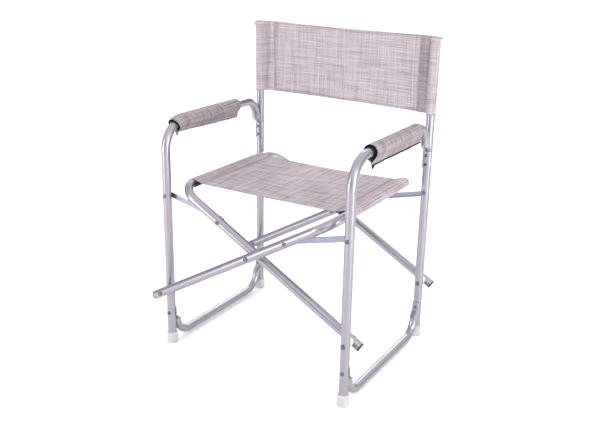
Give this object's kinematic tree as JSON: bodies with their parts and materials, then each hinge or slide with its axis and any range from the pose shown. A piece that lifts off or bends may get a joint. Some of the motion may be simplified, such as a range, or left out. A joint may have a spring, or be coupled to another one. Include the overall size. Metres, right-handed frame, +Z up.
{
  "type": "folding camp chair",
  "caption": "Folding camp chair with arms: aluminium tube side frames, crossed seat frames, folding links, slung canvas seat and back.",
  "frame": {"origin": "on the floor, under the middle of the chair's bounding box", "axes": "+Z up, the sitter faces -Y, +X is the side on the viewer's right when the chair is seen from the front"},
  "size_m": [0.5818, 0.475, 0.79],
  "materials": {
    "tube": "satin drawn aluminium tube",
    "canvas": "coarse slubby linen-look mesh cloth, light warm grey",
    "foam": "black closed-cell foam",
    "link": "bright zinc plate",
    "rivet": "bright domed rivets",
    "spacer": "natural nylon",
    "foot": "translucent white moulded plastic",
    "black_plastic": "black moulded plastic"
  },
  "bodies": {
    "right_side_frame": {"right_arm_tube": "tube", "right_back_upright": "tube", "right_base_tube": "tube", "right_front_foot": "foot", "right_rear_foot": "foot", "right_upright_plug": "black_plastic", "right_arm_foam": "foam", "right_arm_cover": "canvas", "right_frame_rivets": "rivet", "right_link_pins": "rivet", "right_leg_spacers": "spacer", "right_pivot_rivets": "rivet", "back_canvas": "canvas"},
    "left_seat_frame": {"left_seat_frame": "tube", "left_tail_plugs": "black_plastic", "left_seat_frame_spacers": "spacer", "left_link_studs": "rivet", "centre_rivets": "rivet", "seat_canvas": "canvas"},
    "right_seat_frame": {"right_seat_frame": "tube", "right_tail_plugs": "black_plastic", "right_seat_frame_spacers": "spacer", "right_link_studs": "rivet"},
    "left_side_frame": {"left_arm_tube": "tube", "left_back_upright": "tube", "left_base_tube": "tube", "left_front_foot": "foot", "left_rear_foot": "foot", "left_upright_plug": "black_plastic", "left_arm_foam": "foam", "left_arm_cover": "canvas", "left_frame_rivets": "rivet", "left_link_pins": "rivet", "left_leg_spacers": "spacer", "left_pivot_rivets": "rivet"},
    "front_right_link": {"front_right_link": "link"},
    "rear_right_link": {"rear_right_link": "link"},
    "front_left_link": {"front_left_link": "link"},
    "rear_left_link": {"rear_left_link": "link"}
  },
  "joints": [
    {"name": "fold", "type": "hinge", "parent": "right_side_frame", "child": "left_seat_frame", "pos_m": [0.262, 0, 0.153], "axis": [0, 1, 0], "range_deg": [0, 43], "deforming": ["seat_canvas", "back_canvas"]},
    {"name": "centre_pivot", "type": "hinge", "parent": "left_seat_frame", "child": "right_seat_frame", "pos_m": [0, 0, 0.30427], "axis": [0, 1, 0], "range_deg": [-86, 0]},
    {"name": "left_lower_pivot", "type": "hinge", "parent": "right_seat_frame", "child": "left_side_frame", "pos_m": [-0.262, 0, 0.153], "axis": [0, 1, 0], "range_deg": [0, 43]},
    {"name": "front_right_link_pivot", "type": "hinge", "parent": "right_side_frame", "child": "front_right_link", "pos_m": [0.262, 0, 0.40325], "axis": [0, 1, 0], "range_deg": [0, 84.72]},
    {"name": "front_left_link_pivot", "type": "hinge", "parent": "left_side_frame", "child": "front_left_link", "pos_m": [-0.262, 0, 0.40325], "axis": [0, 1, 0], "range_deg": [-84.72, 0]},
    {"name": "rear_right_link_pivot", "type": "hinge", "parent": "right_side_frame", "child": "rear_right_link", "pos_m": [0.262, 0, 0.40325], "axis": [0, 1, 0], "range_deg": [0, 84.72]},
    {"name": "rear_left_link_pivot", "type": "hinge", "parent": "left_side_frame", "child": "rear_left_link", "pos_m": [-0.262, 0, 0.40325], "axis": [0, 1, 0], "range_deg": [-84.72, 0]}
  ],
  "couplings": [
    {"joint": "centre_pivot", "follows": "fold", "ratio": -2},
    {"joint": "left_lower_pivot", "follows": "fold", "ratio": 1},
    {"joint": "front_right_link_pivot", "follows": "fold", "ratio": 1.9702},
    {"joint": "front_left_link_pivot", "follows": "fold", "ratio": -1.9702},
    {"joint": "rear_right_link_pivot", "follows": "fold", "ratio": 1.9702},
    {"joint": "rear_left_link_pivot", "follows": "fold", "ratio": -1.9702}
  ]
}
